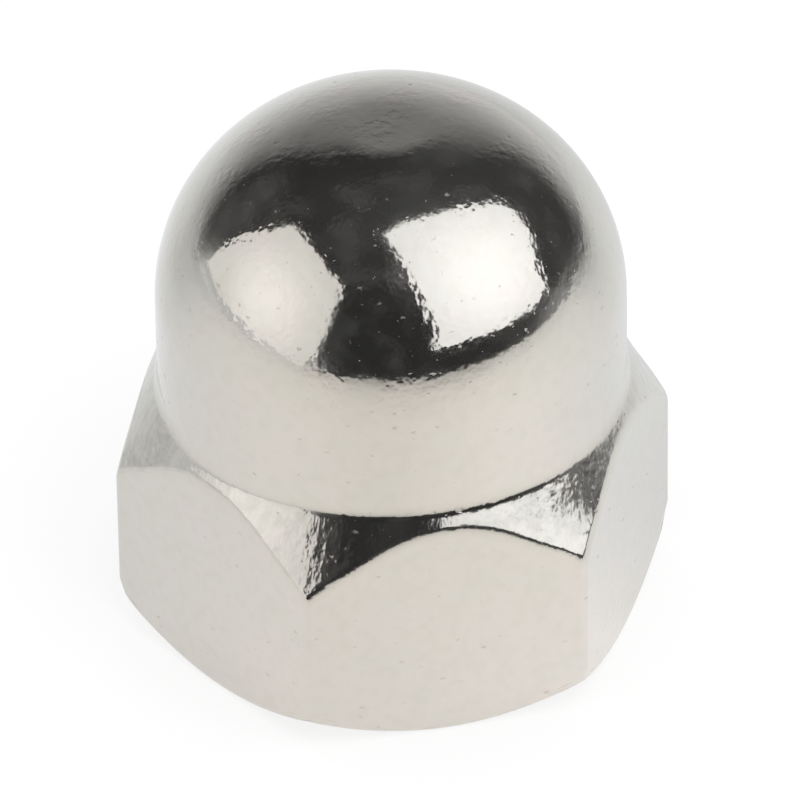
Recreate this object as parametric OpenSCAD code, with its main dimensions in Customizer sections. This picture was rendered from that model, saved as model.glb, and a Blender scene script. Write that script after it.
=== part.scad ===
// Cap nut, high form: a hexagon with a domed crown that closes a blind threaded hole.
// It stands on its bearing face. The origin is the centre of that face, and +Z runs up through the crown.
// Hexagon and crown are one piece: a hexagonal bar, turned to the nut's profile and bored from below.

/* [Hexagon] */
// Width across the flats
across_flats = 13; // [11:0.5:17]
// Height at which the upper chamfer would meet the crown's wall
hexagon_h = 7.15; // [5.5:0.05:8]
// Slope of the upper chamfer, in degrees up from the bearing face
upper_chamfer_angle = 60; // [30:1:65]
// Slope of the lower chamfer, in degrees up from the bearing face
lower_chamfer_angle = 41; // [15:1:50]
// Gap between the middle of a flat and the rim of the round bearing face
bearing_inset = 0.12; // [0.02:0.02:0.6]
// Radius on the hexagon's upright edges
corner_r = 0.3; // [0.1:0.05:0.6]

/* [Crown] */
// Overall height, from the bearing face to the top of the crown
height = 15; // [13.5:0.5:20]
// Ledge between the middle of a flat and the crown's wall
crown_ledge = 0.31; // [0.1:0.01:1]
// Diameter of the flat land at the top of the crown
land_d = 1.64; // [0.5:0.02:5]
// Radius in the neck, where the crown's wall runs out into the upper chamfer
neck_r = 1.5; // [0.2:0.1:2]

/* [Threaded hole] */
// Nominal diameter of the thread
thread_d = 8; // [6:0.5:10]
// Pitch of the thread
pitch = 1.25; // [0.75:0.25:1.5]
// Metal left between the tip of the hole and the top of the crown
crown_wall = 2; // [1:0.1:4]
// Angle of the hole's pointed end, in degrees
drill_point_angle = 118; // [90:1:140]
// Angle of the countersink at the mouth, in degrees
countersink_angle = 120; // [60:5:120]
// How far the countersink's rim lies outside the thread, on the radius
countersink_margin = 0.3; // [0:0.05:0.6]

/* [Hidden] */
$fn = 128;

FLATS = 6;
// Straight steps in a small radius
ARC_STEPS = 6;
// How far a cutting shape runs past the surface that it cuts
cut_over = 0.5;

// Hexagon: its sharp corners, the centres of its corner radii, and the bearing face
stock_r = across_flats / 2 / cos(180 / FLATS);
corner_centre_r = (across_flats / 2 - corner_r) / cos(180 / FLATS);
bearing_r = across_flats / 2 - bearing_inset;
lower_chamfer_h = (stock_r - bearing_r) * tan(lower_chamfer_angle);

// Crown: an upright wall, a round shoulder tangent to it, and a flat land tangent to the shoulder
crown_r = across_flats / 2 - crown_ledge;
upper_chamfer_h = (stock_r - crown_r) * tan(upper_chamfer_angle);
land_r = land_d / 2;
shoulder_r = crown_r - land_r;
shoulder_z = height - shoulder_r;

// Neck: the centre of a radius that is tangent to the upper chamfer and to the crown's wall
neck_rise = neck_r * (1 - sin(upper_chamfer_angle)) / cos(upper_chamfer_angle);
neck_centre = [crown_r + neck_r, hexagon_h + neck_rise];

// Hole: an ISO internal thread is cut 5/8 of its triangle's height deep, from its minor diameter outwards
thread_depth = 5 / 8 * sqrt(3) / 2 * pitch;
minor_r = thread_d / 2 - thread_depth;
countersink_r = thread_d / 2 + countersink_margin;
countersink_slope = tan(countersink_angle / 2);
countersink_h = (countersink_r - minor_r) / countersink_slope;
hole_tip_z = height - crown_wall;
hole_h = hole_tip_z - minor_r / tan(drill_point_angle / 2);

// Points along a round stretch, from one angle to another about its centre
function arc(centre, r, from, to) = [
    for (i = [0 : ARC_STEPS])
        let (a = from + (to - from) * i / ARC_STEPS) centre + r * [cos(a), sin(a)]
];

// Outline of the bar: six flats, two of them facing -Y and +Y, joined by small radii
module bar_outline() {
    turn = 360 / FLATS;
    polygon([
        for (i = [0 : FLATS - 1])
            let (a = turn * i)
                each arc(corner_centre_r * [cos(a), sin(a)], corner_r, a - turn / 2, a + turn / 2)
    ]);
}

// Half section of the hexagon's two chamfers, the neck and the crown's wall
module body_profile() {
    polygon([
        [0, 0],
        [bearing_r, 0],
        [stock_r, lower_chamfer_h],
        [stock_r, hexagon_h - upper_chamfer_h],
        each arc(neck_centre, neck_r, 270 - upper_chamfer_angle, 180),
        [crown_r, shoulder_z],
        [0, shoulder_z],
    ]);
}

// Half section of the dome: the round shoulder about the column of metal under the land
module dome_profile() {
    translate([0, shoulder_z]) {
        square([land_r, shoulder_r]);
        intersection() {
            translate([land_r, 0]) circle(shoulder_r);
            translate([land_r, 0]) square(2 * shoulder_r);
        }
    }
}

// Half section of the hole: countersink, tapping diameter and drill point
module hole_profile() {
    polygon([
        [0, -cut_over],
        [countersink_r + cut_over * countersink_slope, -cut_over],
        [minor_r, countersink_h],
        [minor_r, hole_h],
        [0, hole_tip_z],
    ]);
}

module cap_nut() {
    color("silver")
    difference() {
        intersection() {
            translate([0, 0, -cut_over]) linear_extrude(height + 2 * cut_over) bar_outline();
            rotate_extrude() {
                body_profile();
                dome_profile();
            }
        }
        rotate_extrude() hole_profile();
    }
}

cap_nut();
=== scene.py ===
"""Domed cap nut in bright nickel plate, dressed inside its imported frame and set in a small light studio."""

import logging
from collections.abc import Callable
from dataclasses import dataclass, field
from math import atan2, cos, degrees, exp, hypot, log10, pi, radians, sin, sqrt, tan, tau

import bmesh
import bpy
from mathutils import Matrix, Vector


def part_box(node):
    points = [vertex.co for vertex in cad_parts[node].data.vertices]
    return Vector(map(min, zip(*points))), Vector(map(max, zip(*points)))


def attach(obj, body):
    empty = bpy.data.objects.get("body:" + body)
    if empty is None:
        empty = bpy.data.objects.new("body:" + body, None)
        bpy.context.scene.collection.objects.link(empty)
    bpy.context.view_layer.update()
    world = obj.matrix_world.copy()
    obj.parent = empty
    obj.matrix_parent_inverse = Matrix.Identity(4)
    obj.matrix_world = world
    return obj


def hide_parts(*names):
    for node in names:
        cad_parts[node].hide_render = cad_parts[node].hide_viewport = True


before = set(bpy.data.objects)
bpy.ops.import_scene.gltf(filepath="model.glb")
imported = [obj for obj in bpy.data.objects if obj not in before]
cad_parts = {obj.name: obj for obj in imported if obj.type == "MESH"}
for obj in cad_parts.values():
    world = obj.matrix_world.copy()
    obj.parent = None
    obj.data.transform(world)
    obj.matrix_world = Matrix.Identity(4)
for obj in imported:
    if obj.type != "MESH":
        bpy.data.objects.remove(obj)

log = logging.getLogger("cap_nut")

MM = 0.001
NODE = "cap_nut"

# Distance within which a cut takes a point as lying on its plane, and within which points are merged
ON_PLANE = 1e-5 * MM
WELD = 1e-4 * MM
# Largest upward share of an upright face's normal
UPRIGHT = 1e-3
# Least dot product of two directions that count as the same
SAME_WAY = 0.99999


# -------------------- meshes


class Pen:
    """Draws a half section in the XZ plane as a chain of edges, from its current point onwards."""

    def __init__(self, bm: bmesh.types.BMesh, r: float, z: float) -> None:
        """Starts the chain.

        Args:
            bm: Mesh to draw into.
            r: Distance of the first point from the axis.
            z: Height of the first point.
        """
        self.bm = bm
        self.tip = bm.verts.new((r, 0.0, z))

    def line(self, r: float, z: float, steps: int = 1) -> "Pen":
        """Draws a straight line, in equal steps.

        Args:
            r: Distance of the end from the axis.
            z: Height of the end.
            steps: Number of edges along the line.

        Returns:
            The pen, at the end of the line.
        """
        start = self.tip.co.copy()
        end = Vector((r, 0.0, z))
        for i in range(1, steps + 1):
            made = bmesh.ops.extrude_vert_indiv(self.bm, verts=[self.tip])
            self.tip = made["verts"][0]
            self.tip.co = start.lerp(end, i / steps)
        return self

    def arc(self, r: float, z: float, angle: float, steps: int) -> "Pen":
        """Draws an arc about a centre.

        Args:
            r: Distance of the arc's centre from the axis.
            z: Height of the arc's centre.
            angle: Turn in radians, positive from +X towards +Z.
            steps: Number of edges along the arc.

        Returns:
            The pen, at the end of the arc.
        """
        made = bmesh.ops.spin(
            self.bm, geom=[self.tip], cent=(r, 0.0, z), axis=(0.0, -1.0, 0.0),
            angle=angle, steps=steps, use_merge=False, use_duplicate=False,
        )
        self.tip = next(g for g in made["geom_last"] if isinstance(g, bmesh.types.BMVert))
        return self


def mesh_object(bm: bmesh.types.BMesh, name: str) -> bpy.types.Object:
    """Turns a bmesh into an object in the scene, at the origin.

    Args:
        bm: Finished bmesh, which is freed.
        name: Name of the object and its mesh.

    Returns:
        The new object.
    """
    mesh = bpy.data.meshes.new(name)
    bm.to_mesh(mesh)
    bm.free()
    made = bpy.data.objects.new(name, mesh)
    bpy.context.scene.collection.objects.link(made)
    return made


# -------------------- the nut


@dataclass
class CapNut:
    """A hexagon with a domed crown over a blind threaded hole, turned and milled from one bar.

    Lengths are in metres and angles in radians. A place on the upper chamfer is given as a share of the way
    from the crown's wall to the hexagon's sharp corners.
    """

    across_flats: float
    height: float

    # Hexagon and crown
    hexagon_h: float = 7.15 * MM
    upper_chamfer: float = radians(60)
    lower_chamfer: float = radians(41)
    bearing_inset: float = 0.12 * MM
    corner_r: float = 0.3 * MM
    crown_ledge: float = 0.31 * MM
    land_r: float = 0.82 * MM
    neck_r: float = 1.0 * MM

    # Broken edges, with the number of strips in each, and eased corners, with their reach in corner radii
    upper_break: float = 0.19 * MM
    upper_break_steps: int = 6
    lower_break: float = 0.14 * MM
    lower_break_steps: int = 3
    corner_ease: float = 0.12 * MM
    ease_reach: float = 1.5

    # Upper chamfer: how deep it sags and where, how far its normals tip up and where,
    # and how far its neck tilts, which way, and how that fades with height and along the chamfer
    chamfer_rings: int = 5
    chamfer_sag: float = 0.13 * MM
    sag_middle: float = 0.5
    sag_spread: float = 0.22
    chamfer_hollow: float = radians(2.6)
    hollow_start: float = 0.32
    hollow_length: float = 0.4
    neck_skew: float = 0.016
    skew_way: tuple[float, float] = (0.98, -0.2)
    skew_height: float = 1.2 * MM
    skew_end: float = 0.4

    # Threaded hole
    thread_r: float = 4.0 * MM
    minor_r: float = 3.3234 * MM
    pitch: float = 1.25 * MM
    crown_wall: float = 2.0 * MM
    drill_point: float = radians(118)
    countersink_slope: float = tan(radians(60))
    countersink_margin: float = 0.3 * MM
    run_out: tuple[float, float] = (1.2 * MM, 2.6 * MM)

    # Fineness of the mesh
    flats: int = 6
    corner_cuts: int = 7
    turn_steps: int = 192
    land_steps: int = 2
    dome_steps: int = 48
    wall_steps: int = 12
    neck_steps: int = 8
    bearing_steps: int = 4
    tip_steps: int = 6
    thread_step: float = 0.05 * MM

    @property
    def flat_r(self) -> float:
        """Distance of a flat from the axis."""
        return self.across_flats / 2

    @property
    def crown_r(self) -> float:
        """Radius of the crown's upright wall."""
        return self.flat_r - self.crown_ledge

    @property
    def shoulder_r(self) -> float:
        """Radius of the round shoulder between the wall and the land."""
        return self.crown_r - self.land_r

    @property
    def bearing_r(self) -> float:
        """Radius of the round bearing face."""
        return self.flat_r - self.bearing_inset

    @property
    def corner_reach(self) -> float:
        """Distance of the hexagon's sharp corners from the axis."""
        return self.flat_r / cos(pi / self.flats)

    @property
    def hole_tip_z(self) -> float:
        """Height of the pointed end of the hole."""
        return self.height - self.crown_wall

    @property
    def hole_h(self) -> float:
        """Height at which the bore meets its pointed end."""
        return self.hole_tip_z - self.minor_r / tan(self.drill_point / 2)

    def draw_outside(self, bm: bmesh.types.BMesh) -> None:
        """Draws the outside's half section, from the middle of the land down to the bearing face.

        Args:
            bm: Empty mesh to draw into.
        """
        blank_r = self.corner_reach + self.corner_r
        neck_rise = self.neck_r * (1 - sin(self.upper_chamfer)) / cos(self.upper_chamfer)
        neck = (self.crown_r + self.neck_r, self.hexagon_h + neck_rise)
        shoulder_z = self.height - self.shoulder_r
        upper_z = self.hexagon_h - (blank_r - self.crown_r) * tan(self.upper_chamfer)
        lower_z = (blank_r - self.bearing_r) * tan(self.lower_chamfer)

        pen = Pen(bm, 0.0, self.height)
        pen.line(self.land_r, self.height, self.land_steps)
        pen.arc(self.land_r, shoulder_z, -pi / 2, self.dome_steps)
        pen.line(self.crown_r, neck[1], self.wall_steps)
        pen.arc(*neck, pi / 2 - self.upper_chamfer, self.neck_steps)
        pen.line(blank_r, upper_z)
        pen.line(blank_r, lower_z)
        pen.line(self.bearing_r, 0.0)

    def draw_hole(self, bm: bmesh.types.BMesh) -> None:
        """Draws the half section of the bearing face and the hole, up to the hole's tip.

        Args:
            bm: Empty mesh to draw into.
        """
        countersink_r = self.thread_r + self.countersink_margin
        countersink_h = (countersink_r - self.minor_r) / self.countersink_slope
        pen = Pen(bm, self.bearing_r, 0.0)
        pen.line(countersink_r, 0.0, self.bearing_steps)
        pen.line(self.minor_r, countersink_h, round(countersink_h / self.thread_step))
        pen.line(self.minor_r, self.hole_h, round((self.hole_h - countersink_h) / self.thread_step))
        pen.line(0.0, self.hole_tip_z, self.tip_steps)

    def turn(self, bm: bmesh.types.BMesh) -> None:
        """Turns a half section once round the axis.

        Args:
            bm: Mesh that holds the section.
        """
        bmesh.ops.spin(
            bm, geom=bm.verts[:] + bm.edges[:], cent=(0, 0, 0), axis=(0, 0, 1),
            angle=tau, steps=self.turn_steps, use_merge=True, use_duplicate=False,
        )

    def plane_angles(self) -> list[tuple[float, float]]:
        """Works out the upright planes that cut the bar's outline.

        Returns:
            The direction of each plane's normal and its distance from the axis: one plane for each flat,
            and between two flats the tangents of the corner's small radius.
        """
        side = tau / self.flats
        corner_centre = (self.flat_r - self.corner_r) / cos(side / 2)
        planes = [(side * (i + 0.5), self.flat_r) for i in range(self.flats)]
        for i in range(self.flats):
            for k in range(self.corner_cuts):
                lean = side * ((k + 0.5) / self.corner_cuts - 0.5)
                planes.append((side * i + lean, corner_centre * cos(lean) + self.corner_r))
        return planes

    def mill_hexagon(self, bm: bmesh.types.BMesh) -> None:
        """Cuts the flats and the rounded corners off the turned blank.

        Args:
            bm: Mesh of the turned blank.
        """
        for angle, distance in self.plane_angles():
            normal = Vector((cos(angle), sin(angle), 0.0))
            made = bmesh.ops.bisect_plane(
                bm, geom=bm.verts[:] + bm.edges[:] + bm.faces[:], dist=ON_PLANE,
                plane_co=normal * distance, plane_no=normal, clear_outer=True,
            )
            rim = [g for g in made["geom_cut"] if isinstance(g, bmesh.types.BMEdge)]
            bmesh.ops.contextual_create(bm, geom=rim)

    def upright_faces(self, bm: bmesh.types.BMesh) -> list[bmesh.types.BMFace]:
        """Finds the hexagon's upright sides, the flats and the strips of the rounded corners alike.

        Args:
            bm: Mesh of the milled nut.

        Returns:
            The faces.
        """
        bm.normal_update()
        inside = self.crown_r + self.crown_ledge / 2
        return [
            f for f in bm.faces
            if abs(f.normal.z) < UPRIGHT and hypot(*f.calc_center_median().xy) > inside
        ]

    def break_edges(self, bm: bmesh.types.BMesh) -> None:
        """Rounds the arcs where the hexagon's sides run into the two chamfers.

        Args:
            bm: Mesh of the milled nut.
        """
        upright = set(self.upright_faces(bm))
        rims = [e for e in bm.edges if len(upright.intersection(e.link_faces)) == 1]
        middle = self.hexagon_h / 2
        upper = [e for e in rims if e.verts[0].co.z > middle]
        lower = [e for e in rims if e.verts[0].co.z < middle]
        for edges, offset, segments in (
            (upper, self.upper_break, self.upper_break_steps),
            (lower, self.lower_break, self.lower_break_steps),
        ):
            bmesh.ops.bevel(
                bm, geom=edges, offset=offset, offset_type="OFFSET", segments=segments,
                profile=0.5, affect="EDGES", clamp_overlap=False, loop_slide=True, material=-1,
            )

    def cut_faces(
        self, bm: bmesh.types.BMesh, faces: list[bmesh.types.BMFace], place: Vector, normal: Vector
    ) -> None:
        """Adds an edge where a plane crosses some faces.

        Args:
            bm: Mesh that holds the faces.
            faces: Faces to cut.
            place: Point of the plane.
            normal: Direction across the plane.
        """
        edges = dict.fromkeys(e for f in faces for e in f.edges)
        verts = dict.fromkeys(v for f in faces for v in f.verts)
        geom = [*faces, *edges, *verts]
        bmesh.ops.bisect_plane(bm, geom=geom, dist=ON_PLANE, plane_co=place, plane_no=normal)

    def ease_corners(self, bm: bmesh.types.BMesh) -> None:
        """Draws the hexagon's lower corners in a little, where tumbling rounds them most.

        Cuts above the corners and beside them keep the rest of each flat true.

        Args:
            bm: Mesh of the nut with its edges rounded.
        """
        level = (self.corner_reach - self.bearing_r) * tan(self.lower_chamfer)
        reach = self.ease_reach * self.corner_r
        self.cut_faces(bm, self.upright_faces(bm), Vector((0, 0, level + reach)), Vector((0, 0, 1)))
        half = self.corner_reach * sin(pi / self.flats) - 2 * reach
        for i in range(self.flats):
            turned = Matrix.Rotation(tau * (i + 0.5) / self.flats, 3, "Z")
            for side in (-1, 1):
                flat = [f for f in bm.faces if f.normal.dot(turned @ Vector((1, 0, 0))) > SAME_WAY]
                along = turned @ Vector((0, side, 0))
                self.cut_faces(bm, flat, along * half, along)
        for vert in bm.verts:
            r = max(hypot(vert.co.x, vert.co.y), MM)
            out = max((r - self.corner_reach) / reach + 1, 0.0)
            near = max(1 - abs(vert.co.z - level) / reach, 0.0)
            shrink = 1 - self.corner_ease * out**2 * near / r
            vert.co = Vector((vert.co.x * shrink, vert.co.y * shrink, vert.co.z))

    def ring_chamfer(self, bm: bmesh.types.BMesh) -> None:
        """Cuts rings into the upper chamfer, so that its hollow has points to follow.

        Args:
            bm: Mesh of the nut with its edges rounded.
        """
        slack = 0.002
        bm.normal_update()
        for i in range(1, self.chamfer_rings + 1):
            out = (self.corner_reach - self.crown_r) * i / (self.chamfer_rings + 1)
            cone = [f for f in bm.faces if abs(f.normal.z - cos(self.upper_chamfer)) < slack]
            level = Vector((0, 0, self.hexagon_h - out * tan(self.upper_chamfer)))
            self.cut_faces(bm, cone, level, Vector((0, 0, 1)))

    def groove(self, z: float, angle: float) -> float:
        """Gives the depth of the thread's groove at a point of the bore.

        The groove's root is a flat of an eighth of the pitch, and its flanks lean 30 degrees.

        Args:
            z: Height of the point.
            angle: Direction of the point about the axis, in radians.

        Returns:
            Depth from the minor radius outwards, which fades at the inner end.
        """
        depth = self.thread_r - self.minor_r
        phase = (z / self.pitch - angle / tau) % 1.0
        off_root = abs(phase - 0.5) * self.pitch - self.pitch / 16
        full = min(max(1 - off_root * sqrt(3) / depth, 0.0), 1.0) * depth
        near, far = self.run_out
        fade = min(max((self.hole_h - z - near) / (far - near), 0.0), 1.0)
        return full * fade

    def cut_thread(self, bm: bmesh.types.BMesh) -> None:
        """Pushes the bore's and countersink's wall outwards along the thread's helix.

        Args:
            bm: Mesh of the nut, whose bore is still plain.
        """
        inside = self.minor_r * 0.999
        outside = self.thread_r + self.countersink_margin / 2
        for vert in bm.verts:
            x, y, z = vert.co
            r = hypot(x, y)
            if inside < r < outside and 0 < z < self.hole_h:
                target = max(r, self.minor_r + self.groove(z, atan2(y, x)))
                vert.co = Vector((x * target / r, y * target / r, z))

    def build(self) -> bpy.types.Object:
        """Builds the nut's mesh.

        Returns:
            The nut as one closed skin, smooth shaded.
        """
        bm = bmesh.new()
        self.draw_hole(bm)
        self.turn(bm)
        self.cut_thread(bm)
        hole = bpy.data.meshes.new("hole")
        bm.to_mesh(hole)
        bm.clear()
        self.draw_outside(bm)
        self.turn(bm)
        self.mill_hexagon(bm)
        self.break_edges(bm)
        self.ease_corners(bm)
        self.ring_chamfer(bm)
        bm.from_mesh(hole)
        bpy.data.meshes.remove(hole)
        bmesh.ops.remove_doubles(bm, verts=bm.verts, dist=WELD)
        bmesh.ops.recalc_face_normals(bm, faces=bm.faces)
        for face in bm.faces:
            face.smooth = True
        made = mesh_object(bm, "cap_nut_body")
        self.shade(made.data)
        self.mark_cuts(made.data)
        return made

    def way_out(self, place: Vector) -> float:
        """Gives a point's share of the way from the crown's wall to the hexagon's sharp corners."""
        return (hypot(place.x, place.y) - self.crown_r) / (self.corner_reach - self.crown_r)

    def sink_chamfer(self, mesh: bpy.types.Mesh) -> None:
        """Hollows the upper chamfer a little between neck and corners, and sets its neck slightly askew.

        Args:
            mesh: The nut's mesh.
        """
        on_wall = -0.01
        for vert in mesh.vertices:
            x, y, z = vert.co
            out = self.way_out(vert.co)
            if z > self.hexagon_h / 2 and out > on_wall:
                near = exp(-(((z - self.hexagon_h) / self.skew_height) ** 2))
                near *= max(1 - out / self.skew_end, 0.0)
                z += self.neck_skew * near * (self.skew_way[0] * x + self.skew_way[1] * y)
                vert.co.z = z - self.chamfer_sag * exp(-(((out - self.sag_middle) / self.sag_spread) ** 2))

    def mark_cuts(self, mesh: bpy.types.Mesh) -> None:
        """Marks the chamfers, which are left as cut under the plate, for the finish.

        Args:
            mesh: The nut's finished mesh.
        """
        inside = self.crown_r + self.crown_ledge / 3
        least, most = 0.3, 0.9
        cut = mesh.attributes.new("as_cut", "FLOAT", "CORNER")
        for face in mesh.polygons:
            out = hypot(face.center.x, face.center.y) > inside
            share = 1.0 if out and least < abs(face.normal.z) < most else 0.0
            for corner in face.loop_indices:
                cut.data[corner].value = share

    def shade(self, mesh: bpy.types.Mesh) -> None:
        """Lets the larger faces set the normals, so that flats and cones stay true up to their rounded edges.

        They are taken before the upper chamfer sags, and its own then tip up a little towards the corners.

        Args:
            mesh: The nut's finished mesh.
        """
        normals = [Vector() for _ in mesh.vertices]
        for face in mesh.polygons:
            push = face.normal * (face.area / MM**2) ** 2
            for index in face.vertices:
                normals[index] += push
        self.sink_chamfer(mesh)
        lean = pi / 2 - self.upper_chamfer
        off_neck, slack = 0.1, 0.005
        for vert, normal in zip(mesh.vertices, normals):
            normal.normalize()
            out = self.way_out(vert.co)
            if out > off_neck and abs(normal.z - sin(lean)) < slack:
                share = min(max((out - self.hollow_start) / self.hollow_length, 0.0), 1.0)
                normal.z = tan(lean + self.chamfer_hollow * share) * hypot(normal.x, normal.y)
                normal.normalize()
        mesh.normals_split_custom_set_from_vertices(normals)


# -------------------- finishes


class Graph:
    """Short hand for a material's or a world's node tree."""

    def __init__(self, owner: bpy.types.Material | bpy.types.World, bare: bool = False) -> None:
        """Opens the owner's node tree.

        Args:
            owner: Material or world whose nodes are used.
            bare: Whether the nodes that it comes with are removed.
        """
        owner.use_nodes = True
        self.tree = owner.node_tree
        if bare:
            self.tree.nodes.clear()

    def node(self, kind: str, **settings: object) -> bpy.types.Node:
        """Adds a node.

        Args:
            kind: The node's type, without the leading ShaderNode.
            **settings: Attributes to set on the node.

        Returns:
            The node.
        """
        made = self.tree.nodes.new("ShaderNode" + kind)
        for name, value in settings.items():
            setattr(made, name, value)
        return made

    def feed(self, socket: bpy.types.NodeSocket, value: object) -> None:
        """Puts a number, a colour or another node's output into a socket.

        Args:
            socket: Input socket.
            value: What goes into it.
        """
        if isinstance(value, bpy.types.NodeSocket):
            self.tree.links.new(value, socket)
        else:
            socket.default_value = value

    def fill(self, kind: str, operation: str, values: tuple[object, ...]) -> bpy.types.Node:
        """Adds a node that works out something, and feeds its inputs in their order.

        Args:
            kind: The node's type, without the leading ShaderNode.
            operation: The node's operation.
            values: Its inputs, as numbers, vectors or sockets.

        Returns:
            The node.
        """
        made = self.node(kind, operation=operation)
        for socket, value in zip(made.inputs, values):
            self.feed(socket, value)
        return made

    def math(self, operation: str, *values: object) -> bpy.types.NodeSocket:
        """Adds a Math node, fed with the values, and gives its output."""
        return self.fill("Math", operation, values).outputs[0]

    def vector(self, operation: str, *values: object) -> bpy.types.NodeSocket:
        """Adds a Vector Math node, fed with the values, and gives its vector."""
        return self.fill("VectorMath", operation, values).outputs["Vector"]

    def place(self) -> bpy.types.NodeSocket:
        """Gives the place on the piece, in metres."""
        return self.node("TexCoord").outputs["Object"]

    def stored(self, name: str) -> bpy.types.Node:
        """Adds a node that reads what the mesh holds under a name."""
        return self.node("Attribute", attribute_name=name)

    def noise_node(self, place: bpy.types.NodeSocket, length: float, detail: float) -> bpy.types.Node:
        """Adds a noise.

        Args:
            place: Place on the piece.
            length: Length of one period, in the place's unit.
            detail: Number of finer octaves.

        Returns:
            The node, whose value and colour run from 0 to 1.
        """
        made = self.node("TexNoise")
        for name, given in (("Vector", place), ("Scale", 1 / length), ("Detail", detail)):
            self.feed(made.inputs[name], given)
        return made

    def noise(self, place: bpy.types.NodeSocket, length: float, detail: float = 0.0) -> bpy.types.NodeSocket:
        """Adds a noise as noise_node() does, and gives its value."""
        return self.noise_node(place, length, detail).outputs["Fac"]

    def ramp(
        self, value: object, low: float, high: object, to_low: object, to_high: object
    ) -> bpy.types.NodeSocket:
        """Adds a smooth step from one value to another.

        Args:
            value: Input socket or number.
            low: Input at which the step starts.
            high: Input at which the step ends.
            to_low: Output before the step.
            to_high: Output after the step.

        Returns:
            The node's output.
        """
        made = self.node("MapRange", interpolation_type="SMOOTHSTEP")
        for name, given in (
            ("Value", value), ("From Min", low), ("From Max", high), ("To Min", to_low), ("To Max", to_high),
        ):
            self.feed(made.inputs[name], given)
        return made.outputs["Result"]

    def tone(self, share: object, first: object, second: object) -> bpy.types.NodeSocket:
        """Mixes two colours.

        Args:
            share: Share of the second colour.
            first: First colour or socket.
            second: Second colour or socket.

        Returns:
            The mixed colour.
        """
        made = self.node("Mix", data_type="RGBA")
        for name, given in (("Factor", share), ("A", first), ("B", second)):
            self.feed(made.inputs[name], given)
        return made.outputs["Result"]

    def shader(self, kind: str, *values: object) -> bpy.types.NodeSocket:
        """Adds a shader, and feeds its inputs in their order.

        Args:
            kind: The node's type, without the leading ShaderNode.
            *values: Its inputs, as numbers, colours or sockets.

        Returns:
            The shader's output.
        """
        made = self.node(kind)
        for socket, value in zip(made.inputs, values):
            self.feed(socket, value)
        return made.outputs[0]

    def surface(self, shader: bpy.types.NodeSocket) -> None:
        """Makes a shader the surface of a bare material."""
        self.feed(self.node("OutputMaterial").inputs["Surface"], shader)

    def seen_directly(self) -> bpy.types.NodeSocket:
        """Tells camera, mirror and glass rays from the rest.

        Returns:
            A socket that is 1 for those rays and 0 for all others.
        """
        path = self.node("LightPath")
        mirrored = self.math("MAXIMUM", path.outputs["Is Glossy Ray"], path.outputs["Is Transmission Ray"])
        return self.math("MAXIMUM", path.outputs["Is Camera Ray"], mirrored)


@dataclass(frozen=True)
class Marks:
    """Masks of the plate's small marks, each a socket that runs from 0 to 1."""

    mottle: bpy.types.NodeSocket
    speck: bpy.types.NodeSocket
    nick: bpy.types.NodeSocket
    hair: bpy.types.NodeSocket


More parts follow.
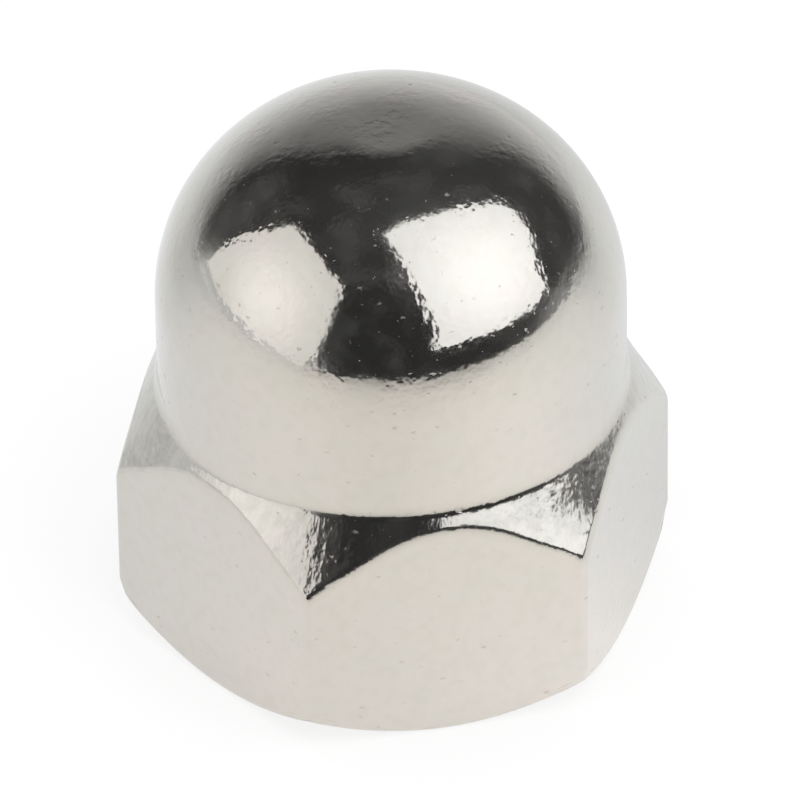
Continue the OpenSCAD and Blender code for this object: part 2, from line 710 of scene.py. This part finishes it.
@dataclass(frozen=True)
class NickelPlate:
    """Bright nickel plate: mirror-like and faintly warm, with an orange-peel ripple, pits and hair lines.

    Lengths and heights are in millimetres. A texture's pair is its length and its height, a size's pair its
    least and most, and a step's pair the values of a noise at which it starts and ends.
    """

    # Colours of the plate, its warmer patches, its mottle, the chamfers left as cut, and nicks
    colour: tuple[float, float, float] = (0.668, 0.6575, 0.618)
    warm_colour: tuple[float, float, float] = (0.682, 0.653, 0.623)
    mottle_colour: tuple[float, float, float] = (0.618, 0.6, 0.559)
    cut_colour: tuple[float, float, float] = (0.61, 0.595, 0.565)
    stain: tuple[float, float, float] = (0.4, 0.37, 0.33)

    # Where those colours come, and how far they cover the plate's own
    patch: float = 1.1
    warmth_step: tuple[float, float] = (0.36, 0.64)
    mottle: float = 0.33
    mottle_step: tuple[float, float] = (0.4, 0.8)
    mottle_share: float = 0.3
    dull: float = 0.45
    dull_step: tuple[float, float] = (0.4, 0.66)
    dull_share: float = 0.9
    nick_share: float = 0.42
    octaves: float = 3.0

    # Roughness of the plate, of the chamfers and of marks, and how far specks and hair lines dull the plate
    roughness: float = 0.085
    cut_roughness: float = 0.13
    dull_roughness: float = 0.42
    speck_dulls: float = 0.8
    hair_dulls: float = 0.25

    # Long waves, and the ripple, which grows and fades from patch to patch
    wave: tuple[float, float] = (1.6, 0.0035)
    ripple: tuple[float, float] = (0.21, 0.0049)
    ripple_step: tuple[float, float] = (0.35, 0.68)
    ripple_growth: tuple[float, float] = (0.5, 1.9)

    # The chamfers' coarser texture, drawn out down the slope and laid round at one radius
    cut_ripple: tuple[float, float] = (0.24, 0.0105)
    cut_stretch: float = 0.6
    cut_round: float = 7.4

    # Specks and nicks: distance apart, radius and depth, how their outlines wander, and how few are large
    speck_cell: float = 0.25
    speck_size: tuple[float, float] = (0.02, 0.075)
    speck_depth: float = 0.0012
    nick_cell: float = 0.55
    nick_size: tuple[float, float] = (0.03, 0.13)
    nick_depth: float = 0.004
    nick_squeeze: tuple[float, float, float] = (1.0, 1.0, 1.6)
    spot_bend: tuple[float, float] = (0.11, 0.16)
    spot_rarity: float = 2.2

    # Hair lines along the middle of a noise, which the mottle breaks up
    hair: tuple[float, float] = (1.3, 0.00012)
    hair_width: float = 0.01
    hair_step: tuple[float, float] = (0.6, 0.68)

    def spots(
        self, graph: Graph, place: bpy.types.NodeSocket, cell: float, size: tuple[float, float]
    ) -> bpy.types.NodeSocket:
        """Scatters round spots of mixed size, most of them small.

        Args:
            graph: Node tree to add to.
            place: Socket with the place in millimetres.
            cell: Distance between spots.
            size: Radius of the smallest and of the largest spot.

        Returns:
            Their mask from 0 to 1.
        """
        low, high = size
        length, reach = self.spot_bend
        bend = graph.noise_node(place, length, 1.0).outputs["Color"]
        cells = graph.node("TexVoronoi")
        graph.feed(cells.inputs["Vector"], graph.vector("MULTIPLY_ADD", bend, (reach,) * 3, place))
        graph.feed(cells.inputs["Scale"], 1 / cell)
        chance = graph.node("SeparateColor")
        graph.feed(chance.inputs[0], cells.outputs["Color"])
        spread = graph.math("POWER", chance.outputs[0], self.spot_rarity)
        radius = graph.math("MULTIPLY_ADD", spread, (high - low) / cell, low / cell)
        return graph.ramp(cells.outputs["Distance"], 0.0, radius, 1.0, 0.0)

    def along_slope(self, graph: Graph, place: bpy.types.NodeSocket) -> bpy.types.NodeSocket:
        """Stretches a texture along the slope of the cones.

        Args:
            graph: Node tree to add to.
            place: Socket with the place in millimetres.

        Returns:
            A place that moves fast round the axis and slowly down a slope.
        """
        around = graph.vector("NORMALIZE", graph.vector("MULTIPLY", place, (1.0, 1.0, 0.0)))
        down = graph.vector("MULTIPLY", place, (0.0, 0.0, self.cut_stretch))
        return graph.vector("MULTIPLY_ADD", around, (self.cut_round,) * 3, down)

    def marks(self, graph: Graph, place: bpy.types.NodeSocket) -> Marks:
        """Adds the masks of the small marks.

        Args:
            graph: Node tree to add to.
            place: Socket with the place in millimetres.

        Returns:
            The masks.
        """
        mottle = graph.noise(place, self.mottle)
        speck = self.spots(graph, place, self.speck_cell, self.speck_size)
        squeezed = graph.vector("MULTIPLY", place, self.nick_squeeze)
        nick = self.spots(graph, squeezed, self.nick_cell, self.nick_size)
        off = graph.math("ABSOLUTE", graph.math("SUBTRACT", graph.noise(place, self.hair[0]), 0.5))
        line = graph.ramp(off, 0.0, self.hair_width, 1.0, 0.0)
        broken = graph.ramp(mottle, *self.hair_step, 0.0, 1.0)
        return Marks(mottle, speck, nick, graph.math("MULTIPLY", line, broken))

    def normal(
        self, graph: Graph, place: bpy.types.NodeSocket, cut: bpy.types.NodeSocket, marks: Marks
    ) -> bpy.types.NodeSocket:
        """Adds the relief: waves, ripple, the chamfers' texture and the marks.

        Args:
            graph: Node tree to add to.
            place: Socket with the place in millimetres.
            cut: Socket that is 1 on the chamfers.
            marks: Masks of the marks.

        Returns:
            The normal.
        """
        wave = graph.math("MULTIPLY", graph.noise(place, self.wave[0]), self.wave[1])
        growth = graph.ramp(graph.noise(place, self.patch), *self.ripple_step, *self.ripple_growth)
        ripple = graph.math("MULTIPLY", graph.noise(place, self.ripple[0], 1.0), self.ripple[1])
        ripple = graph.math("MULTIPLY", ripple, growth)
        rough = graph.noise(self.along_slope(graph, place), self.cut_ripple[0], 2.0)
        rough = graph.math("MULTIPLY", graph.math("SUBTRACT", rough, 0.5), self.cut_ripple[1])
        rough = graph.math("MULTIPLY", rough, cut)
        height = graph.math("ADD", graph.math("ADD", wave, ripple), rough)
        for mark, depth in (
            (marks.speck, self.speck_depth), (marks.nick, self.nick_depth), (marks.hair, self.hair[1]),
        ):
            height = graph.math("MULTIPLY_ADD", mark, -depth, height)
        bump = graph.node("Bump")
        graph.feed(bump.inputs["Strength"], 1.0)
        graph.feed(bump.inputs["Distance"], MM)
        graph.feed(bump.inputs["Height"], height)
        return bump.outputs["Normal"]

    def sheen(self, graph: Graph, cut: bpy.types.NodeSocket, marks: Marks) -> bpy.types.NodeSocket:
        """Adds the roughness, which is higher on the chamfers and highest in marks.

        Args:
            graph: Node tree to add to.
            cut: Socket that is 1 on the chamfers.
            marks: Masks of the marks.

        Returns:
            The roughness.
        """
        speck = graph.math("MULTIPLY", marks.speck, self.speck_dulls)
        hair = graph.math("MULTIPLY", marks.hair, self.hair_dulls)
        worn = graph.math("MAXIMUM", graph.math("MAXIMUM", speck, hair), marks.nick)
        base = graph.math("MULTIPLY_ADD", cut, self.cut_roughness - self.roughness, self.roughness)
        return graph.ramp(worn, 0.0, 1.0, base, self.dull_roughness)

    def tint(
        self, graph: Graph, place: bpy.types.NodeSocket, cut: bpy.types.NodeSocket, marks: Marks
    ) -> bpy.types.NodeSocket:
        """Adds the colour: warmer patches, mottle, duller chamfers and stained nicks.

        Args:
            graph: Node tree to add to.
            place: Socket with the place in millimetres.
            cut: Socket that is 1 on the chamfers.
            marks: Masks of the marks.

        Returns:
            The colour.
        """
        warmth = graph.ramp(graph.noise(place, self.patch, self.octaves), *self.warmth_step, 0.0, 1.0)
        colour = graph.tone(warmth, (*self.colour, 1), (*self.warm_colour, 1))
        mottled = graph.ramp(marks.mottle, *self.mottle_step, 0.0, self.mottle_share)
        colour = graph.tone(mottled, colour, (*self.mottle_colour, 1))
        dulled = graph.noise(place, self.dull, self.octaves)
        dulled = graph.ramp(dulled, *self.dull_step, 0.0, self.dull_share)
        colour = graph.tone(graph.math("MULTIPLY", dulled, cut), colour, (*self.cut_colour, 1))
        return graph.tone(graph.math("MULTIPLY", marks.nick, self.nick_share), colour, (*self.stain, 1))

    def material(self) -> bpy.types.Material:
        """Builds the plate's material.

        Returns:
            The node material.
        """
        made = bpy.data.materials.new("bright_nickel_plate")
        graph = Graph(made)
        shader = graph.tree.nodes["Principled BSDF"]
        place = graph.vector("MULTIPLY", graph.place(), (1 / MM,) * 3)
        cut = graph.stored("as_cut").outputs["Fac"]
        marks = self.marks(graph, place)
        graph.feed(shader.inputs["Metallic"], 1.0)
        graph.feed(shader.inputs["Normal"], self.normal(graph, place, cut, marks))
        graph.feed(shader.inputs["Roughness"], self.sheen(graph, cut, marks))
        graph.feed(shader.inputs["Base Color"], self.tint(graph, place, cut, marks))
        return made


# -------------------- the studio


# Heights, centres and half widths of smooth bumps round the nut
Lobes = tuple[tuple[float, float, float], ...]


@dataclass(frozen=True)
class Card:
    """A glowing card round the nut, given by the directions of its corners from the nut.

    A direction is an azimuth from the camera's side, positive towards its right, and an elevation above the
    table, both in degrees. The glow falls from the middle to the rim, which lies at the card's reach.
    """

    name: str
    corners: tuple[tuple[float, float], ...]
    middle: tuple[float, float]
    glow: float
    rim_glow: float
    reach: float
    tint: tuple[float, float, float] = (1.0, 1.0, 1.0)
    distance: float = 0.5


def lobe(angle: float, centre: float, width: float) -> float:
    """Gives a smooth bump over a direction.

    Args:
        angle: Direction in degrees.
        centre: Direction of the bump's top, in degrees.
        width: Half width of the bump, in degrees.

    Returns:
        1 at the centre, falling to 0 far from it.
    """
    off = (angle - centre + 180) % 360 - 180
    return exp(-((off / width) ** 2))


def lobes(azimuth: float, parts: Lobes) -> float:
    """Adds up smooth bumps round the nut.

    Args:
        azimuth: Direction in degrees.
        parts: Height, centre and half width of each bump.

    Returns:
        Their sum.
    """
    return sum(height * lobe(azimuth, centre, width) for height, centre, width in parts)


@dataclass(frozen=True)
class Patch:
    """A soft patch of light on the drape: its glow, and its place and half width each way, in degrees."""

    glow: float
    azimuth: float
    width: float
    rise: float
    height: float

    def at(self, azimuth: float, rise: float) -> float:
        """Gives the patch's glow in a direction."""
        return self.glow * lobe(azimuth, self.azimuth, self.width) * lobe(rise, self.rise, self.height)


@dataclass(frozen=True)
class Sweep:
    """The pale sweep low behind the nut: its glow, its middle, how high it stands and how its sides end."""

    glow: float = 0.73
    azimuth: float = 180.5
    top: float = 47
    top_width: float = 46
    width: float = 58
    steepness: float = 5
    softness: float = 100
    dip: Patch = Patch(0.7, 122, 10, 2, 6)
    dim: Lobes = ((0.13, -145, 18),)

    def at(self, azimuth: float, rise: float) -> float:
        """Gives the sweep's glow.

        Args:
            azimuth: Direction in degrees.
            rise: Elevation in degrees.

        Returns:
            Its radiance.
        """
        behind = abs(azimuth % 360 - self.azimuth)
        top = self.top / (1 + (behind / self.top_width) ** self.steepness)
        ends = 1 + (behind / self.width) ** self.steepness
        glow = self.glow / ends * max(0.0, 1 - rise / top) ** (1 + behind / self.softness)
        return glow * (1 - self.dip.at(azimuth, rise) - lobes(azimuth, self.dim))


@dataclass(frozen=True)
class Sill:
    """The pale sill low on the left: its glow and brighter place, its middle, half width and height."""

    glow: float = 0.66
    bright: Lobes = ((0.12, -50, 16),)
    azimuth: float = -74
    width: float = 39
    steepness: float = 16
    height: float = 9

    def at(self, azimuth: float, rise: float) -> float:
        """Gives the sill's glow.

        Args:
            azimuth: Direction in degrees.
            rise: Elevation in degrees.

        Returns:
            Its radiance.
        """
        ends = 1 + (abs(azimuth - self.azimuth) / self.width) ** self.steepness
        return (self.glow + lobes(azimuth, self.bright)) / ends * lobe(rise, 0, self.height)


@dataclass
class Studio:
    """Pale table, pale world, soft cards and camera round the nut.

    Lengths are in metres and angles in degrees. A glow of 1 is white.
    """

    # Camera
    eye_turn: float = -11.75
    eye_rise: float = 37.96
    eye_distance: float = 326.8 * MM
    eye_roll: float = -0.88
    aim: Vector = field(default_factory=lambda: Vector((0.2 * MM, 0.0, 6.06 * MM)))
    lens: float = 557.2
    clip: tuple[float, float] = (10 * MM, 4.0)

    # Lamp
    lamp_way: tuple[float, float] = (40, 60)
    lamp_distance: float = 0.45
    lamp_size: float = 0.3
    lamp_power: float = 0.6

    # Drape: its shape, the painted light of its folds, and its glow
    drape_r: float = 1.1
    drape_columns: int = 144
    drape_rows: int = 120
    drape_below: float = 1 * MM
    fold_length: float = 0.25
    fold_step: tuple[float, float] = (0.42, 0.75)
    fold_glow: float = 0.035
    dark: float = 0.032
    dark_lobes: Lobes = ((0.025, 115, 45),)
    zenith_from: float = 45
    zenith_glow: float = 0.03
    sweep: Sweep = Sweep()
    sill: Sill = Sill()
    patches: tuple[Patch, ...] = (
        Patch(0.26, 91, 17, 2, 5),
        Patch(0.05, -117, 12, 20, 18),
        Patch(0.03, -129, 10, 38, 9),
        Patch(0.08, 7, 9, 57, 10),
        Patch(0.065, 180, 25, 38, 5),
    )

    # Table: its shape, its looks, and its glow near the nut, at the contact and far out, which holds painted
    # shade for the nut's shadow
    table_sides: int = 72
    table_rings: int = 24
    table_near: float = 8 * MM
    table_gap: float = 0.01 * MM
    table_colour: tuple[float, float, float, float] = (0.94, 0.94, 0.94, 1)
    table_shown: float = 0.8
    far_ratio: float = 27
    near_glow: float = 0.945
    # Glow round the nut: brighter on the right, darker in front and on the left, and painted shade behind on
    # the right for the nut's shadow
    near_lobes: Lobes = ((0.115, 52, 32), (-0.06, -8, 24), (-0.2, 160, 25), (-0.1, -108, 48))
    contact_reach: float = 0.22
    # Painted light and shade at the contact: a painted brightening in front, and a painted shadow of the nut
    # behind on the right
    contact_shading_lobes: Lobes = ((0.06, 15, 60), (-0.26, 145, 45))
    drop: float = 0.14
    drop_lobes: Lobes = ((0.42, 15, 55), (0.16, -138, 26), (0.6, 115, 15), (-0.08, -70, 25))
    dim_from: float = 0.5
    dim_lobes: Lobes = ((0.21, -120, 17),)
    blue_loss: float = 0.1
    blue_loss_end: float = 0.4
    warm_tint: Vector = field(default_factory=lambda: Vector((1.045, 1.0, 0.958)))
    cool_tint: Vector = field(default_factory=lambda: Vector((0.965, 1.0, 1.045)))

    cards: tuple[Card, ...] = (
        Card(
            "cream_card",
            (
                (-109, 5), (-105, 25), (-97, 52.5), (-58, 54.5), (-33.5, 47), (-32, 36), (-33, 21),
                (-35.5, 9), (-42, 0.5), (-58, 2.5),
            ),
            (-70, 22), 1.25, 0.94, 0.32, (1.0, 0.985, 0.955),
        ),
        Card(
            "softbox",
            (
                (-18, 81), (22.5, 26), (19.5, 16.5), (22, 13.5), (74, 10.5), (85.5, 10.5), (91, 24),
                (102, 31.5), (110, 38), (114.5, 47), (110, 66), (95, 82.5),
            ),
            (65, 40), 1.55, 1.2, 0.42,
        ),
    )

    def direction(self, azimuth: float, elevation: float) -> Vector:
        """Gives a direction seen from the nut.

        Args:
            azimuth: Degrees from the camera's side, positive towards its right.
            elevation: Degrees above the table.

        Returns:
            The unit vector.
        """
        a = radians(azimuth + self.eye_turn)
        e = radians(elevation)
        return Vector((sin(a) * cos(e), -cos(a) * cos(e), sin(e)))

    def bearing(self, place: Vector) -> tuple[float, float]:
        """Gives a place's direction seen from the nut, the reverse of direction().

        Args:
            place: Point of the studio.

        Returns:
            Azimuth from the camera's side and elevation, in degrees.
        """
        azimuth = degrees(atan2(place.x, -place.y)) - self.eye_turn
        return (azimuth + 180) % 360 - 180, degrees(atan2(place.z, hypot(place.x, place.y)))

    def drape_glow(self, place: Vector) -> Vector:
        """Gives the drape's glow: dark, with a pale sweep behind, a sill on the left and soft patches.

        Args:
            place: Point of the drape.

        Returns:
            Its radiance, where 1 is white.
        """
        azimuth, rise = self.bearing(place)
        rise = max(rise, 0.0)
        glow = self.dark + lobes(azimuth, self.dark_lobes)
        glow += self.zenith_glow * max(0.0, rise / self.zenith_from - 1)
        glow += sum(part.at(azimuth, rise) for part in (self.sweep, self.sill, *self.patches))
        return Vector((1, 1, 1)) * glow

    def table_glow(self, place: Vector) -> Vector:
        """Gives the table's glow for the metal: warm in front, cool behind, dimmer far out, with painted
        shade for the nut's shadow behind it on the right.

        Args:
            place: Point of the table.

        Returns:
            Its radiance, where 1 is white.
        """
        azimuth, _ = self.bearing(place)
        far = min(log10(max(place.length, self.table_near) / self.table_near) / log10(self.far_ratio), 1.0)
        contact = max(0.0, 1 - far / self.contact_reach)
        # Painted shade for the nut's shadow behind on the right, and painted light in front, strongest at the
        # contact
        glow = self.near_glow + lobes(azimuth, self.near_lobes) + contact * lobes(azimuth, self.contact_shading_lobes)
        glow -= (self.drop + lobes(azimuth, self.drop_lobes)) * far**2
        glow -= lobes(azimuth, self.dim_lobes) * min(far / self.dim_from, 1.0) ** 3
        tint = self.cool_tint.lerp(self.warm_tint, (1 + cos(radians(azimuth))) / 2)
        tint.z -= self.blue_loss * min(far, self.blue_loss_end)
        return tint * glow

    def paint(self, piece: bpy.types.Object, rule: Callable[[Vector], Vector]) -> None:
        """Stores a glow at each vertex of a piece.

        Args:
            piece: Object of the studio.
            rule: Gives the glow at a place.
        """
        glow = piece.data.color_attributes.new("glow", "FLOAT_COLOR", "POINT")
        for vert, stored in zip(piece.data.vertices, glow.data):
            stored.color = (*rule(vert.co), 1)

    def hide_from_eye(self, piece: bpy.types.Object) -> None:
        """Leaves a piece for the mirror-bright metal alone to see.

        Args:
            piece: Object of the studio.
        """
        piece.visible_camera = False
        piece.visible_diffuse = False
        piece.visible_shadow = False
        piece.visible_transmission = False

    def build_card(self, card: Card) -> bpy.types.Object:
        """Stands one card round the nut, brightest at its middle.

        Args:
            card: The card's outline and glow.

        Returns:
            The card's object.
        """
        ways = [self.direction(*c) for c in card.corners]
        facing = sum(ways, Vector()).normalized()
        bm = bmesh.new()
        rim = [bm.verts.new(w * (card.distance / w.dot(facing))) for w in ways]
        bmesh.ops.contextual_create(bm, geom=rim)
        made = mesh_object(bm, card.name)
        centre = self.direction(*card.middle)
        centre *= card.distance / centre.dot(facing)
        material = bpy.data.materials.new(card.name + "_glow")
        graph = Graph(material, bare=True)
        off = graph.fill("VectorMath", "DISTANCE", (graph.place(), centre)).outputs["Value"]
        strength = graph.ramp(off, 0.0, card.reach, card.glow, card.rim_glow)
        graph.surface(graph.shader("Emission", (*card.tint, 1), strength))
        made.data.materials.append(material)
        self.hide_from_eye(made)
        return made

    def build_drape(self) -> bpy.types.Object:
        """Hangs the dark drape that the metal sees between the cards.

        Returns:
            The drape's object.
        """
        bm = bmesh.new()
        bmesh.ops.create_uvsphere(
            bm, u_segments=self.drape_columns, v_segments=self.drape_rows, radius=self.drape_r
        )
        bmesh.ops.bisect_plane(
            bm, geom=bm.verts[:] + bm.edges[:] + bm.faces[:], plane_co=(0, 0, -self.drape_below),
            plane_no=(0, 0, 1), clear_inner=True,
        )
        made = mesh_object(bm, "dark_drape")
        self.paint(made, self.drape_glow)
        material = bpy.data.materials.new("drape_glow")
        graph = Graph(material, bare=True)
        # Painted light of folds: patches of extra glow from a noise, on a drape with no folds in its shape
        folds = graph.noise(graph.place(), self.fold_length, 2.0)
        folds = graph.ramp(folds, *self.fold_step, 0.0, self.fold_glow)
        colour = graph.vector("ADD", graph.stored("glow").outputs["Color"], folds)
        graph.surface(graph.shader("Emission", colour, 1.0))
        made.data.materials.append(material)
        self.hide_from_eye(made)
        return made

    def build_table(self) -> bpy.types.Object:
        """Lays the pale table, in rings that widen outwards.

        Returns:
            The table's object.
        """
        bm = bmesh.new()
        bmesh.ops.create_circle(
            bm, cap_ends=True, segments=self.table_sides, radius=self.table_near,
            matrix=Matrix.Translation((0, 0, -self.table_gap)),
        )
        growth = (self.drape_r / self.table_near) ** (1 / self.table_rings)
        ring = [e for e in bm.edges if e.is_boundary]
        for _ in range(self.table_rings):
            made = bmesh.ops.extrude_edge_only(bm, edges=ring)["geom"]
            rim = [g for g in made if isinstance(g, bmesh.types.BMVert)]
            ring = [g for g in made if isinstance(g, bmesh.types.BMEdge) and g.is_boundary]
            bmesh.ops.scale(bm, vec=(growth, growth, 1), verts=rim)
        bm.normal_update()
        bmesh.ops.reverse_faces(bm, faces=[f for f in bm.faces if f.normal.z < 0])
        table = mesh_object(bm, "table")
        self.paint(table, self.table_glow)
        table.data.materials.append(self.table_material())
        return table

    def table_material(self) -> bpy.types.Material:
        """Makes the table white to the eye, glowing as painted to the metal, and clear from below.

        Returns:
            The node material.
        """
        made = bpy.data.materials.new("pale_table")
        graph = Graph(made, bare=True)
        mirrored = graph.node("LightPath").outputs["Is Glossy Ray"]
        shown = graph.tone(mirrored, (1, 1, 1, 1), graph.stored("glow").outputs["Color"])
        matt = graph.shader("BsdfDiffuse", self.table_colour)
        share = graph.math("MULTIPLY", graph.seen_directly(), self.table_shown)
        lit = graph.shader("MixShader", share, matt, graph.shader("Emission", shown))
        below = graph.node("NewGeometry").outputs["Backfacing"]
        graph.surface(graph.shader("MixShader", below, lit, graph.shader("BsdfTransparent")))
        return made

    def build_world(self) -> None:
        """Sets a white background, which is a soft even fill as well."""
        world = bpy.data.worlds.new("pale_studio")
        bpy.context.scene.world = world
        background = Graph(world).tree.nodes["Background"]
        background.inputs["Color"].default_value = (1, 1, 1, 1)
        background.inputs["Strength"].default_value = 1.0

    def build_lamp(self) -> None:
        """Hangs one soft lamp over the table."""
        light = bpy.data.lights.new("soft_lamp", "AREA")
        light.shape = "DISK"
        light.size = self.lamp_size
        light.energy = self.lamp_power
        lamp = bpy.data.objects.new("soft_lamp", light)
        bpy.context.scene.collection.objects.link(lamp)
        way = self.direction(*self.lamp_way)
        lamp.location = way * self.lamp_distance
        lamp.rotation_euler = (-way).to_track_quat("-Z", "Y").to_euler()
        lamp.visible_glossy = False

    def build_camera(self) -> None:
        """Sets the camera at its viewing angle."""
        data = bpy.data.cameras.new("camera")
        data.lens = self.lens
        data.clip_start, data.clip_end = self.clip
        camera = bpy.data.objects.new("camera", data)
        bpy.context.scene.collection.objects.link(camera)
        back = self.direction(0, self.eye_rise)
        turned = Matrix.Rotation(radians(self.eye_turn), 4, "Z")
        look = (-back).to_track_quat("-Z", "Y").to_matrix().to_4x4()
        roll = Matrix.Rotation(radians(self.eye_roll), 4, "Z")
        camera.matrix_world = Matrix.Translation(turned @ self.aim + back * self.eye_distance) @ look @ roll
        bpy.context.scene.camera = camera

    def build(self) -> list[bpy.types.Object]:
        """Builds the whole studio.

        Returns:
            Its pieces: the table, the drape and the cards.
        """
        bpy.context.scene.view_settings.view_transform = "Standard"
        self.build_camera()
        self.build_world()
        self.build_lamp()
        pieces = [self.build_table(), self.build_drape(), *map(self.build_card, self.cards)]
        return pieces


def main() -> None:
    """Builds the nut and its studio, and reports their pieces."""
    logging.basicConfig(level=logging.INFO, format="%(name)s: %(message)s")
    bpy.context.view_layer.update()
    low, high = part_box(NODE)
    nut = CapNut(across_flats=high.y - low.y, height=high.z)
    body = nut.build()
    body.data.materials.append(NickelPlate().material())
    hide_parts(NODE)
    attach(body, "root")
    for piece in (body, *Studio().build()):
        log.info("%s: %d faces", piece.name, len(piece.data.polygons))


if __name__ == "__main__":
    main()
